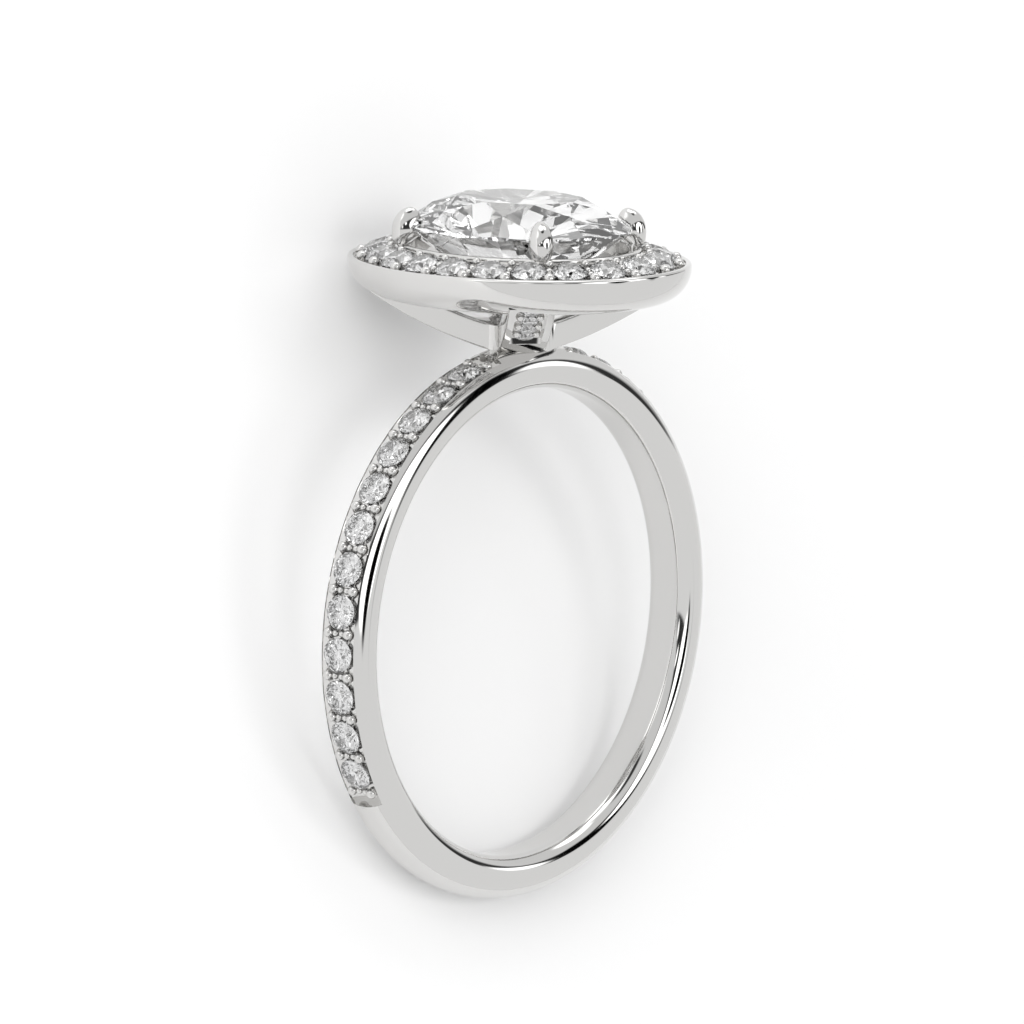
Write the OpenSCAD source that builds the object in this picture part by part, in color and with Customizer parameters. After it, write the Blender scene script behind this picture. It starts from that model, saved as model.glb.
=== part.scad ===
// Halo ring: an oval stone in four claws, over a sloping halo of small stones, on a cross of
// four curved legs that stand on a stone-set band.
//
// The ring is drawn upright first: x runs round the finger, y along the finger, z from the
// finger's centre up to the centre stone. rest_pose() then lays it on its side, as it lies on a
// table, with its lowest points at z = 0 and its outline centred on the origin.

/* [Band] */
// Inside diameter of the band
finger_d = 17.4; // [14:0.05:23]
// Width of the band along the finger
band_w = 2.0; // [1.9:0.1:4]
// Thickness of the band
band_t = 1.65; // [1.4:0.05:2.6]
// Radius of the band's outer rounding
band_round = 0.89; // [0.3:0.01:0.92]
// Radius of the band's inner, comfort rounding
band_ease = 0.59; // [0.1:0.01:0.65]

/* [Shoulder stones] */
// Diameter of a shoulder stone
shoulder_d = 1.28; // [0.9:0.02:1.34]
// Stones on each shoulder
shoulder_count = 12; // [3:1:14]
// Gap between neighbouring shoulder stones
shoulder_gap = 0.28; // [0.2:0.01:0.5]
// Angle from the top of the band to the first shoulder stone
shoulder_start = 17.8; // [17:0.1:30]
// Length of the channel past the middle of its first and last stones
shoulder_room = 1.25; // [1:0.05:1.3]
// Clearance from the stones to the walls of their channel
channel_margin = 0.11; // [0.03:0.01:0.14]
// Depth of the channel that the shoulder stones lie in
channel_depth = 0.27; // [0.15:0.01:0.4]

/* [Centre stone] */
// Length of the centre stone along the finger
centre_l = 9.0; // [8:0.1:12]
// Width of the centre stone
centre_w = 7.0; // [6.6:0.1:8]
// Height of the crown, from the girdle to the table
crown_h = 1.0; // [0.7:0.05:1.3]
// Thickness of the girdle
girdle_t = 0.16; // [0.08:0.02:0.3]
// Depth of the pavilion below the girdle
pavilion_h = 2.95; // [2.3:0.05:3.1]
// Table width as a share of the stone's width
table_share = 0.57; // [0.5:0.01:0.65]

/* [Halo] */
// Height of the top of the halo's rounded wall above the band
rim_h = 3.04; // [2.8:0.02:5]
// Height of the rim's lip above the rounded wall
rim_lip = 0.16; // [0.1:0.01:0.2]
// Height of the collet's top edge above the band
collet_h = 3.71; // [3.69:0.02:5.7]
// Height of the centre stone's girdle above the band
girdle_h = 4.35; // [4.25:0.05:6.2]
// Downward slope of the halo's row towards its rim
halo_slope = 19; // [5:1:20]
// Diameter of a halo stone
halo_d = 1.3; // [1:0.02:1.34]
// Stones in the halo
halo_count = 22; // [20:2:22]
// Distance from the centre stone's edge to the inside of the collet
collet_gap = 0.14; // [0.05:0.01:0.3]
// Wall of the collet
collet_wall = 0.22; // [0.15:0.01:0.4]
// Width of the halo's row between the collet and the rim
row_w = 1.59; // [1.5:0.01:2]
// Width of the halo's outer rim
rim_w = 0.24; // [0.15:0.01:0.5]
// Depth of the row's outer edge below the top of the rim
row_depth = 0.11; // [0.05:0.01:0.2]
// Radius of the halo's rounded outer wall
wall_round = 1.25; // [0.9:0.05:1.3]

/* [Claws] */
// Radius of a claw at its top
claw_r = 0.45; // [0.35:0.01:0.6]
// Radius of a claw's post, below the stone
claw_foot_r = 0.2; // [0.16:0.01:0.21]
// Height of the claws above the girdle
claw_rise = 0.68; // [0.6:0.01:1.1]
// Angle of the claws from the finger's direction
claw_angle = 39.2; // [36:0.1:44]
// Overlap of a claw with the centre stone's edge
claw_bite = 0.25; // [0.1:0.01:0.25]

/* [Basket] */
// Width of a leg of the basket
leg_w = 1.72; // [1.5:0.02:2.4]
// Height of a leg's side
leg_t = 0.97; // [0.7:0.01:1.2]
// Radius of the legs' curve
leg_curve = 15.7; // [14:0.1:20]
// Slope of a leg at its foot
leg_slope = 18; // [15:0.5:20]
// Depth of a leg's foot in the band, at its inner end
leg_sink = 0.075; // [0.05:0.005:0.3]
// Distance from the axis to where a leg leaves the band
leg_foot = 1.25; // [1:0.05:1.5]
// Radius of the fillets between the legs
leg_fillet = 0.5; // [0.3:0.05:0.7]

/* [Basket stones] */
// Diameter of a basket stone
basket_d = 0.74; // [0.5:0.02:0.76]
// Stones in each leg
basket_count = 4; // [1:1:4]
// Gap between neighbouring basket stones
basket_gap = 0.12; // [0.1:0.01:0.14]
// Width of the channel in a leg
basket_channel_w = 1.15; // [1.1:0.01:1.3]
// Depth of the channel in a leg
basket_channel_depth = 0.2; // [0.1:0.01:0.25]
// Distance from the axis to the inner end of the channel
basket_channel_start = 2.4; // [2.1:0.05:2.8]
// Distance from the axis to the outer end of the channel
basket_channel_end = 5.35; // [5.25:0.05:5.4]

/* [Fits] */
// Clearance between a stone and its seat
seat_gap = 0.02; // [0.01:0.005:0.05]
// Radius of the beads that hold the shoulder stones
shoulder_bead_r = 0.22; // [0.12:0.01:0.22]
// Radius of the beads between the halo stones and the collet
halo_bead_r = 0.15; // [0.1:0.01:0.15]
// Radius of the beads between the halo stones and the rim
rim_bead_r = 0.2; // [0.12:0.01:0.2]
// Radius of the beads that hold the basket stones
basket_bead_r = 0.14; // [0.08:0.01:0.15]
// Distance of the shoulder beads from the middle of their channel
shoulder_bead_reach = 0.45; // [0.45:0.01:0.5]
// Distance of the inner halo beads from the middle of their row
halo_bead_reach = 0.52; // [0.52:0.01:0.6]
// Distance of the rim's beads from the middle of the row
rim_bead_reach = 0.57; // [0.5:0.01:0.57]

/* [Hidden] */
halo_names = [for (i = [1:halo_count]) str("halo_stone_", i < 10 ? "0" : "", i)];
basket_names = [for (i = [1:4]) str("basket_stones_", i)];

// Facets of the round faces, and of the small beads
round_fn = 96;
bead_fn = 24;
// A cut runs this far past the face that it opens
past = 0.5;
// Height of a bead's centre above the floor that it stands on, as a share of its radius
bead_lift = 0.25;

// Band
finger_r = finger_d / 2;
band_r = finger_r + band_t;
band_half = band_w / 2;

// Small stones: crown, girdle and pavilion as shares of the diameter
small_crown = 0.15;
small_girdle = 0.03;
small_pavilion = 0.42;

// Shoulders: the stones' girdles lie on the channel's floor
channel_r = band_r - channel_depth;
channel_w = shoulder_d + 2 * channel_margin;
shoulder_step = 2 * asin((shoulder_d + shoulder_gap) / 2 / channel_r);
shoulder_end = shoulder_start + (shoulder_count - 1) * shoulder_step;
shoulder_turn = shoulder_room / channel_r * 180 / PI;

// Heights in the upright frame
rim_z = band_r + rim_h;
collet_z = band_r + collet_h;
girdle_z = band_r + girdle_h;
table_z = girdle_z + girdle_t / 2 + crown_h;
halo_floor_z = rim_z - wall_round;

// The halo's curves are parallel ovals of four arcs. The end arcs are centred on the y axis, the
// side arcs on the x axis. An offset counts outwards from the centre stone's edge.
end_share = 0.633;
end_r = end_share * centre_l / 2;
end_c = centre_l / 2 - end_r;
side_r = (pow(centre_w / 2, 2) + pow(end_c, 2) - pow(end_r, 2)) / (centre_w - 2 * end_r);
side_c = side_r - centre_w / 2;
split = atan2(end_c, side_c);

collet_in = collet_gap;
collet_out = collet_in + collet_wall;
row_out = collet_out + row_w;
rim_out = row_out + rim_w;
row_mid = (collet_out + row_out) / 2;

// Height of the row's sloping floor at an offset
function floor_z(d) = rim_z + rim_lip - row_depth + (row_out - d) * tan(halo_slope);

// Point on the oval at an offset, and the outward direction there, for an arc length from the
// oval's +y end. The quarter is mirrored for the other three.
function quarter_end(d) = (end_r + d) * (90 - split) * PI / 180;
function quarter_side(d) = (side_r + d) * split * PI / 180;
function quarter(d) = quarter_end(d) + quarter_side(d);
function heading(d, s) =
    s < quarter_end(d)
        ? 90 - s / (end_r + d) * 180 / PI
        : split - (s - quarter_end(d)) / (side_r + d) * 180 / PI;
function arc_point(d, a) =
    a > split
        ? [(end_r + d) * cos(a), end_c + (end_r + d) * sin(a)]
        : [(side_r + d) * cos(a) - side_c, (side_r + d) * sin(a)];
// Heading for a share of the way round, clockwise from +y as seen from above
function turn(d, u) =
    let (v = (u - floor(u)) * 4, q = floor(v), f = v - q)
    q == 0 ? heading(d, f * quarter(d))
    : q == 1 ? -heading(d, (1 - f) * quarter(d))
    : q == 2 ? 180 + heading(d, f * quarter(d))
    : 180 - heading(d, (1 - f) * quarter(d));
function oval_point(d, a) =
    let (
        c = cos(a),
        s = sin(a),
        first = atan2(abs(s), abs(c)),
        p = arc_point(d, first)
    )
    [c < 0 ? -p[0] : p[0], s < 0 ? -p[1] : p[1]];

// Claws: far enough out to bite the stone's edge by claw_bite
claw_edge = 1 / norm([sin(claw_angle) / (centre_w / 2), cos(claw_angle) / (centre_l / 2)]);
claw_dist = claw_edge + claw_r - claw_bite;
claw_x = claw_dist * sin(claw_angle);
claw_y = claw_dist * cos(claw_angle);
claw_ball_z = girdle_z + claw_rise - claw_r;

// Basket: each leg's underside is an arc, in the leg's own plane, about leg_centre
leg_low_z = band_r - leg_sink;
leg_centre = [leg_foot - leg_curve * sin(leg_slope), leg_low_z + leg_curve * cos(leg_slope)];
leg_end = basket_channel_end + 0.15;
function leg_turn(r) = asin((r - leg_centre[0]) / leg_curve);
basket_step = 2 * asin((basket_d + basket_gap) / 2 / leg_curve);
basket_mid = (leg_turn(basket_channel_start) + leg_turn(basket_channel_end)) / 2;

// Lying on its side the ring rests on the halo's end wall and on the band's rounded edge
rest_a = (centre_l / 2 + rim_out - wall_round) - (band_half - band_round);
rest_b = rim_z + band_r - band_round;
rest_c = band_round - wall_round;
tilt = atan(rest_a / rest_b) - asin(rest_c / norm([rest_a, rest_b]));
rest_low = (band_half - band_round) * cos(tilt) + (band_r - band_round) * sin(tilt) + band_round;
rest_foot = -(band_r - band_round) * cos(tilt) - (band_half - band_round) * sin(tilt) - band_round;
table_reach = table_share * centre_l / 2 * sin(tilt) + table_z * cos(tilt);
claw_reach = claw_y * sin(tilt) + claw_ball_z * cos(tilt) + claw_r;
rest_mid = (rest_foot + max(table_reach, claw_reach)) / 2;

module rest_pose() {
    translate([0, -rest_mid, rest_low])
        rotate([tilt - 90, 0, 0])
            children();
}

// A brilliant: octagonal table, star, kite and girdle facets over a 16-sided girdle, and eight
// main facets with their halves below. It stands on the plane of its girdle's middle.
module brilliant(l, w, crown, girdle, pavilion, table = 0.57) {
    star_r = (1 + table) / 2;
    half_r = 0.24;
    slope = crown / (1 - table);
    top = girdle / 2;
    star_z = top + (1 - star_r * cos(22.5)) * slope;
    half_z = -top - (1 - half_r * cos(22.5)) * pavilion;
    function ring(r, z, n, shift) = [
        for (i = [0:n - 1])
            [r * w / 2 * cos(i * 360 / n + shift), r * l / 2 * sin(i * 360 / n + shift), z]
    ];
    points = concat(
        ring(table, top + crown, 8, 0),
        ring(star_r, star_z, 8, 22.5),
        ring(1, top, 16, 0),
        ring(1, -top, 16, 0),
        ring(half_r, half_z, 8, 22.5),
        [[0, 0, -top - pavilion]]
    );
    s = 8;
    g = 16;
    b = 32;
    h = 48;
    culet = 56;
    faces = concat(
        [[for (i = [7:-1:0]) i]],
        [for (i = [0:7]) [i, (i + 1) % 8, s + i]],
        [for (i = [0:7]) [i, s + i, g + 2 * i, s + (i + 7) % 8]],
        [for (i = [0:7]) [s + i, g + 2 * i + 1, g + 2 * i]],
        [for (i = [0:7]) [s + i, g + (2 * i + 2) % 16, g + 2 * i + 1]],
        [for (i = [0:15]) [g + i, g + (i + 1) % 16, b + (i + 1) % 16, b + i]],
        [for (i = [0:7]) [h + i, b + 2 * i, b + 2 * i + 1]],
        [for (i = [0:7]) [h + i, b + 2 * i + 1, b + (2 * i + 2) % 16]],
        [for (i = [0:7]) [culet, h + (i + 7) % 8, b + 2 * i, h + i]]
    );
    polyhedron(points, faces);
}

module small_stone(d) {
    brilliant(d, d, small_crown * d, small_girdle * d, small_pavilion * d);
}

// The seat below a small stone: a straight bore to the girdle's foot over a cone
module small_seat(d) {
    r = d / 2 + seat_gap;
    foot = small_girdle * d / 2;
    deep = small_pavilion * d + foot + seat_gap;
    translate([0, 0, -foot - seat_gap])
        cylinder(h = foot + seat_gap + past, r = r, $fn = 48);
    translate([0, 0, -foot - seat_gap - deep])
        cylinder(h = deep, r1 = 0.05, r2 = r, $fn = 48);
}

// Places: the children's z axis points out of the surface
module at_shoulder(side, angle) {
    rotate([0, side * angle, 0])
        translate([0, 0, channel_r])
            children();
}

module at_halo(u, d, lift = 0) {
    a = turn(row_mid, u);
    p = oval_point(d, a);
    translate([p[0], p[1], floor_z(d)])
        rotate([0, 0, a])
            rotate([0, halo_slope, 0])
                translate([0, 0, lift])
                    children();
}

// The four legs point along the diagonals. Leg 1 is at +x +y, and they count clockwise.
function leg_heading(k) = 135 - 90 * k;

module at_leg(k, turned, shift = 0, lift = 0) {
    r = leg_curve - basket_channel_depth + lift;
    rotate([0, 0, leg_heading(k)])
        translate([leg_centre[0] + r * sin(turned), shift, leg_centre[1] - r * cos(turned)])
            rotate([0, 180 - turned, 0])
                children();
}

// Sweeps a flat profile, drawn as offset and height, round the oval
module sweep_oval() {
    for (side = [0, 180]) {
        rotate([0, 0, side])
            translate([-side_c, 0, 0])
                rotate([0, 0, -split])
                    rotate_extrude(angle = 2 * split, $fn = round_fn)
                        translate([side_r, 0])
                            children();
        rotate([0, 0, side])
            translate([0, end_c, 0])
                rotate([0, 0, split])
                    rotate_extrude(angle = 180 - 2 * split, $fn = round_fn)
                        translate([end_r, 0])
                            children();
    }
}

// Band: turned round the finger's axis, with its seam at the foot, away from the stones
module around_finger() {
    rotate([90, 90, 0])
        rotate_extrude($fn = round_fn)
            children();
}

module band_section() {
    difference() {
        translate([finger_r, -band_half])
            square([band_t, band_w]);
        for (side = [-1, 1]) {
            difference() {
                translate([band_r - band_round, side > 0 ? band_half - band_round : -band_half - past])
                    square([band_round + past, band_round + past]);
                translate([band_r - band_round, side * (band_half - band_round)])
                    circle(r = band_round, $fn = round_fn);
            }
            difference() {
                translate([finger_r - past, side > 0 ? band_half - band_ease : -band_half - past])
                    square([band_ease + past, band_ease + past]);
                translate([finger_r + band_ease, side * (band_half - band_ease)])
                    circle(r = band_ease, $fn = round_fn);
            }
        }
    }
}

module shoulder_channel(side) {
    first = shoulder_start - shoulder_turn;
    last = shoulder_end + shoulder_turn;
    rotate([90, side > 0 ? last - 90 : -90 - first, 0])
        rotate_extrude(angle = last - first, $fn = round_fn)
            translate([channel_r, -channel_w / 2])
                square([channel_depth + past, channel_w]);
}

// A pair of half-round beads before, between and after the stones
module shoulder_beads(side) {
    for (i = [0:shoulder_count])
        for (edge = [-1, 1])
            at_shoulder(side, shoulder_start + (i - 0.5) * shoulder_step)
                translate([0, edge * shoulder_bead_reach, 0])
                    sphere(r = shoulder_bead_r, $fn = bead_fn);
}

module band() {
    difference() {
        around_finger()
            band_section();
        for (side = [-1, 1]) {
            shoulder_channel(side);
            for (i = [0:shoulder_count - 1])
                at_shoulder(side, shoulder_start + i * shoulder_step)
                    small_seat(shoulder_d);
        }
    }
}

// Halo
module halo_section() {
    intersection() {
        translate([rim_out - wall_round, rim_z])
            circle(r = wall_round, $fn = round_fn);
        translate([rim_out - wall_round, halo_floor_z])
            square([wall_round, wall_round]);
    }
    translate([collet_in, halo_floor_z])
        square([rim_out - wall_round - collet_in, wall_round]);
    polygon([
        [collet_in, rim_z - past],
        [collet_in, collet_z],
        [collet_out, collet_z],
        [collet_out, floor_z(collet_out)],
        [row_out, floor_z(row_out)],
        [row_out, rim_z + rim_lip],
        [rim_out, rim_z + rim_lip],
        [rim_out, rim_z],
        [rim_out - wall_round, rim_z - past]
    ]);
}

module halo_beads() {
    for (i = [0:halo_count - 1]) {
        at_halo((i + 0.5) / halo_count, row_mid - halo_bead_reach, bead_lift * halo_bead_r)
            sphere(r = halo_bead_r, $fn = bead_fn);
        at_halo((i + 0.5) / halo_count, row_mid + rim_bead_reach, bead_lift * rim_bead_r)
            sphere(r = rim_bead_r, $fn = bead_fn);
    }
}

// A claw is a post in the collet's wall that widens up to the girdle and ends in a dome
module claws() {
    for (sx = [-1, 1])
        for (sy = [-1, 1])
            translate([sx * claw_x, sy * claw_y, 0])
                rotate_extrude($fn = 48)
                    claw_profile();
}

module claw_profile() {
    polygon([
        [0, halo_floor_z],
        [claw_foot_r, halo_floor_z],
        [claw_foot_r, collet_z - claw_foot_r],
        [claw_r, girdle_z - girdle_t],
        [claw_r, claw_ball_z],
        [0, claw_ball_z]
    ]);
    intersection() {
        translate([0, claw_ball_z])
            circle(r = claw_r, $fn = 48);
        translate([0, claw_ball_z - claw_foot_r])
            square([claw_r, claw_r + claw_foot_r]);
    }
}

// The notch that the claws' inner sides have for the centre stone's edge
module claw_notch() {
    reach = 1.2;
    top = girdle_t / 2 + seat_gap;
    crown_rate = crown_h / ((1 - table_share) * centre_w / 2);
    pavilion_rate = pavilion_h / (centre_w / 2);
    translate([0, 0, girdle_z])
        sweep_oval()
            polygon([
                [3 * seat_gap, -top],
                [3 * seat_gap, top],
                [-reach, top + reach * crown_rate],
                [-reach, -top - reach * pavilion_rate]
            ]);
}

// Basket
module leg_profile() {
    intersection() {
        difference() {
            translate(leg_centre)
                circle(r = leg_curve, $fn = 4 * round_fn);
            translate([leg_centre[0], leg_centre[1] + leg_t])
                circle(r = leg_curve, $fn = 4 * round_fn);
        }
        translate([0, finger_r + band_t / 2])
            square([leg_end, halo_floor_z + wall_round / 2 - finger_r - band_t / 2]);
    }
}

module leg(k, width) {
    rotate([0, 0, leg_heading(k)])
        rotate([90, 0, 0])
            linear_extrude(height = width, center = true)
                leg_profile();
}

// The rounded corner between leg k and the next one, no higher and no lower than both legs. The
// rounding runs a little into the legs' sides.
module leg_corner(k) {
    inner = leg_w / 2 - past / 2;
    centre = leg_w / 2 + 0.985 * leg_fillet;
    intersection() {
        rotate([0, 0, leg_heading(k) - 90])
            translate([0, 0, finger_r])
                linear_extrude(height = rim_z - finger_r)
                    difference() {
                        translate([inner, inner])
                            square(centre - inner);
                        translate([centre, centre])
                            circle(r = leg_fillet, $fn = 48);
                    }
        leg(k, 2 * centre + past);
        leg(k % 4 + 1, 2 * centre + past);
    }
}

module leg_channel(k) {
    rotate([0, 0, leg_heading(k)])
        rotate([90, 0, 0])
            linear_extrude(height = basket_channel_w, center = true)
                intersection() {
                    difference() {
                        translate(leg_centre)
                            circle(r = leg_curve + past, $fn = 4 * round_fn);
                        translate(leg_centre)
                            circle(r = leg_curve - basket_channel_depth, $fn = 4 * round_fn);
                    }
                    translate([basket_channel_start, finger_r])
                        square([basket_channel_end - basket_channel_start, rim_z - finger_r]);
                }
}

module leg_beads(k) {
    reach = basket_channel_w / 2 - 1.45 * basket_bead_r;
    lift = bead_lift * basket_bead_r;
    if (basket_count > 1)
        for (i = [1:basket_count - 1])
            for (edge = [-1, 1])
                at_leg(k, basket_mid + (i - basket_count / 2) * basket_step, edge * reach, lift)
                    sphere(r = basket_bead_r, $fn = bead_fn);
}

module mount() {
    color("gainsboro")
        rest_pose() {
            band();
            for (side = [-1, 1])
                shoulder_beads(side);
            difference() {
                union() {
                    sweep_oval()
                        halo_section();
                    claws();
                    for (k = [1:4]) {
                        leg(k, leg_w);
                        leg_corner(k);
                    }
                }
                claw_notch();
                for (i = [0:halo_count - 1])
                    at_halo(i / halo_count, row_mid)
                        small_seat(halo_d);
                for (k = [1:4]) {
                    leg_channel(k);
                    for (i = [0:basket_count - 1])
                        at_leg(k, basket_mid + (i - (basket_count - 1) / 2) * basket_step)
                            small_seat(basket_d);
                }
            }
            halo_beads();
            for (k = [1:4])
                leg_beads(k);
        }
}

module centre_stone() {
    color("white")
        rest_pose()
            translate([0, 0, girdle_z])
                brilliant(centre_l, centre_w, crown_h, girdle_t, pavilion_h, table_share);
}

module shoulder_stones(side) {
    color("aliceblue")
        rest_pose()
            for (i = [0:shoulder_count - 1])
                at_shoulder(side, shoulder_start + i * shoulder_step)
                    small_stone(shoulder_d);
}

module halo_stone(i) {
    color("aliceblue")
        rest_pose()
            at_halo((i - 1) / halo_count, row_mid)
                small_stone(halo_d);
}

module basket_stones(k) {
    color("aliceblue")
        rest_pose()
            for (i = [0:basket_count - 1])
                at_leg(k, basket_mid + (i - (basket_count - 1) / 2) * basket_step)
                    small_stone(basket_d);
}

mount();
centre_stone();
shoulder_stones(-1);  // left_shoulder_stones
shoulder_stones(1);  // right_shoulder_stones
for (i = [1:halo_count])
    halo_stone(i);
for (k = [1:4])
    basket_stones(k);
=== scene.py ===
"""Halo ring: polished metal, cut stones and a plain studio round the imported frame.

The metal is drawn again here from the part's own sizes, with the seats, beads and roundings that
a polished surface needs. Shapes are worked out upright, in millimetres: x round the finger, y
along it, z up to the centre stone. The rest pose then lays them down as the part lies.
"""

import math

import bmesh
import bpy
import numpy as np
from mathutils import Matrix, Vector


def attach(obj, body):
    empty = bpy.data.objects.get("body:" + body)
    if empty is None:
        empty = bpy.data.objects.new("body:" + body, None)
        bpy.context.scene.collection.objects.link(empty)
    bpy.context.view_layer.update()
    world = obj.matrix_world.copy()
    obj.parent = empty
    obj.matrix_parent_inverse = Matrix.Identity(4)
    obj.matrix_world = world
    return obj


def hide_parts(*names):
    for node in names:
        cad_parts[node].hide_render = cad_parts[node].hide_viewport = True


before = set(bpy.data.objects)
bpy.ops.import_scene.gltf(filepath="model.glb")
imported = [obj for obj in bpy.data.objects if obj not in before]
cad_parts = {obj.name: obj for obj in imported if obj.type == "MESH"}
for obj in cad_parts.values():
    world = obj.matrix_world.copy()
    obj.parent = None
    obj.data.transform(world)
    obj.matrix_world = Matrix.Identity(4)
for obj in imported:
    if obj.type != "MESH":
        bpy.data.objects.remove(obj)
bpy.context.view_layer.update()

MM = 0.001

# Band
FINGER_R = 8.7
BAND_R = 10.35
BAND_HALF = 1.0
BAND_ROUND = 0.89
BAND_EASE = 0.59

# Shoulder stones
SHOULDER_D = 1.28
SHOULDER_COUNT = 12
SHOULDER_START = 17.8
SHOULDER_PITCH = 1.56
SHOULDER_ROOM = 1.25
CHANNEL_R = BAND_R - 0.27

# Centre stone. The radius of its outline's end arcs is a share of half its length.
CENTRE_L = 9.0
CENTRE_W = 7.0
END_SHARE = 0.633
CROWN_H = 1.0
GIRDLE_T = 0.16
PAVILION_H = 2.95
TABLE = 0.57
GIRDLE_Z = BAND_R + 4.35

# Halo, as distances outwards from the centre stone's edge
COLLET_IN = 0.14
COLLET_OUT = 0.36
ROW_OUT = 1.95
RIM_OUT = 2.19
RIM_Z = BAND_R + 3.04
COLLET_Z = BAND_R + 3.71
WALL_ROUND = 1.25
HALO_SLOPE = math.radians(19)
RIM_LIP = 0.16
ROW_DEPTH = 0.11
HALO_D = 1.3
HALO_COUNT = 22

# Sections of the cup for each halo stone
HALO_SECTIONS = 16

# Height of the collet's rounded top as a share of half its wall
COLLET_ROUND = 0.7

# Claws. A claw narrows to CLAW_FOOT_R above its post. CLAW_SHIFT is the share of the narrowing by
# which it then stands further out, CLAW_STRETCH its length inwards for its width, and CLAW_LEAN
# how far its tip leans in.
CLAW_R = 0.45
CLAW_POST_R = 0.2
CLAW_ANGLE = math.radians(39.2)
CLAW_BITE = 0.25
CLAW_TOP = GIRDLE_Z + 0.68
CLAW_ROUND = 0.88
CLAW_FOOT_R = 0.28
CLAW_FOOT_Z = COLLET_Z - 0.05
CLAW_SHIFT = 0.7
CLAW_STRETCH = 1.55
CLAW_LEAN = 0.25
CLAW_POINTS = 64

# Depth below the girdle down to which a claw is kept clear of the centre stone
CLAW_CLEAR_DEPTH = 0.6

# Basket. The rounding of a leg's long edges grows to LEG_EDGE over LEG_EDGE_START from where it
# parts from its neighbours.
LEG_HALF = 0.86
LEG_T = 0.97
LEG_CURVE = 15.7
LEG_SLOPE = math.radians(18)
LEG_FOOT = 1.25
LEG_SINK = 0.075
LEG_FILLET = 0.5
LEG_END = 5.5
LEG_EDGE = 0.07
LEG_EDGE_START = 0.3
LEG_CORNER_STEPS = 6
LEG_CHANNEL = (2.4, 5.35)
LEG_CHANNEL_HALF = 0.575
LEG_CHANNEL_DEPTH = 0.2
BASKET_D = 0.74
BASKET_COUNT = 4
BASKET_PITCH = 0.86

# Beads. BASKET_BEAD_INSET is their distance from the channel's wall, in radii.
SHOULDER_BEAD_R = 0.19
SHOULDER_BEAD_REACH = 0.45
HALO_BEAD_R = 0.15
HALO_BEAD_REACH = 0.52
RIM_BEAD_R = 0.2
RIM_BEAD_REACH = 0.57
BASKET_BEAD_R = 0.14
BASKET_BEAD_INSET = 1.45
BEAD_LIFT = 0.25

# Small pairs of beads in the cuts between the shoulders' and the halo's stones
CUT_BEAD_R = 0.13
CUT_BEAD_REACH = 0.15
CUT_BEAD_LIFT = -0.4

# Small stones and their seats
PAVILION_SHARE = 0.42
SEAT_GAP = 0.015
SEAT_EDGE = 0.015
SEAT_FOOT = 0.05
SEAT_POINTS = 48

# Depth of a row's floor below the stones' girdles, along its long sides and between two stones.
# The shoulders' floor is less deep along the channel's walls, at SHOULDER_BORDER.
SHOULDER_SINK = (0.1, 0.22)
SHOULDER_BORDER = (0.04, 0.22)
HALO_SINK = (0.07, 0.2)
BASKET_SINK = (0.0, 0.1)

# Rounding of the cup's inner edge
EDGE = 0.05

# The halo's ovals are four arcs each. The end arcs are centred on the y axis, the side arcs on
# the x axis.
END_R = END_SHARE * CENTRE_L / 2
END_C = CENTRE_L / 2 - END_R
SIDE_R = ((CENTRE_W / 2) ** 2 + END_C**2 - END_R**2) / (CENTRE_W - 2 * END_R)
SIDE_C = SIDE_R - CENTRE_W / 2
SPLIT = math.atan2(END_C, SIDE_C)
ROW_MID = (COLLET_OUT + ROW_OUT) / 2
HALO_FLOOR_Z = RIM_Z - WALL_ROUND

SHOULDER_STEP = 2 * math.degrees(math.asin(SHOULDER_PITCH / 2 / CHANNEL_R))
SHOULDER_END = SHOULDER_START + (SHOULDER_COUNT - 1) * SHOULDER_STEP
SHOULDER_TURN = math.degrees(SHOULDER_ROOM / CHANNEL_R)
LEG_CORNER = LEG_HALF + LEG_FILLET * (1 - math.sqrt(0.5))
LEG_CX = LEG_FOOT - LEG_CURVE * math.sin(LEG_SLOPE)
LEG_CZ = BAND_R - LEG_SINK + LEG_CURVE * math.cos(LEG_SLOPE)


def rest_pose():
    """The matrix from the upright millimetre frame to the frame that the part lies in."""
    a = (CENTRE_L / 2 + RIM_OUT - WALL_ROUND) - (BAND_HALF - BAND_ROUND)
    b = RIM_Z + BAND_R - BAND_ROUND
    c = BAND_ROUND - WALL_ROUND
    tilt = math.atan2(a, b) - math.asin(c / math.hypot(a, b))
    flat = BAND_HALF - BAND_ROUND
    far = BAND_R - BAND_ROUND
    low = flat * math.cos(tilt) + far * math.sin(tilt) + BAND_ROUND
    foot = -far * math.cos(tilt) - flat * math.sin(tilt) - BAND_ROUND
    table_z = GIRDLE_Z + GIRDLE_T / 2 + CROWN_H
    head = TABLE * CENTRE_L / 2 * math.sin(tilt) + table_z * math.cos(tilt)
    middle = (foot + head) / 2
    turn_over = Matrix.Rotation(tilt - math.pi / 2, 4, "X")
    return Matrix.Scale(MM, 4) @ Matrix.Translation((0, -middle, low)) @ turn_over


POSE = rest_pose()
POSE_ROWS = np.array(POSE)


def laid(points):
    """Upright millimetre points as places in the scene."""
    points = np.asarray(points, float).reshape(-1, 3)
    return points @ POSE_ROWS[:3, :3].T + POSE_ROWS[:3, 3]


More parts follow.
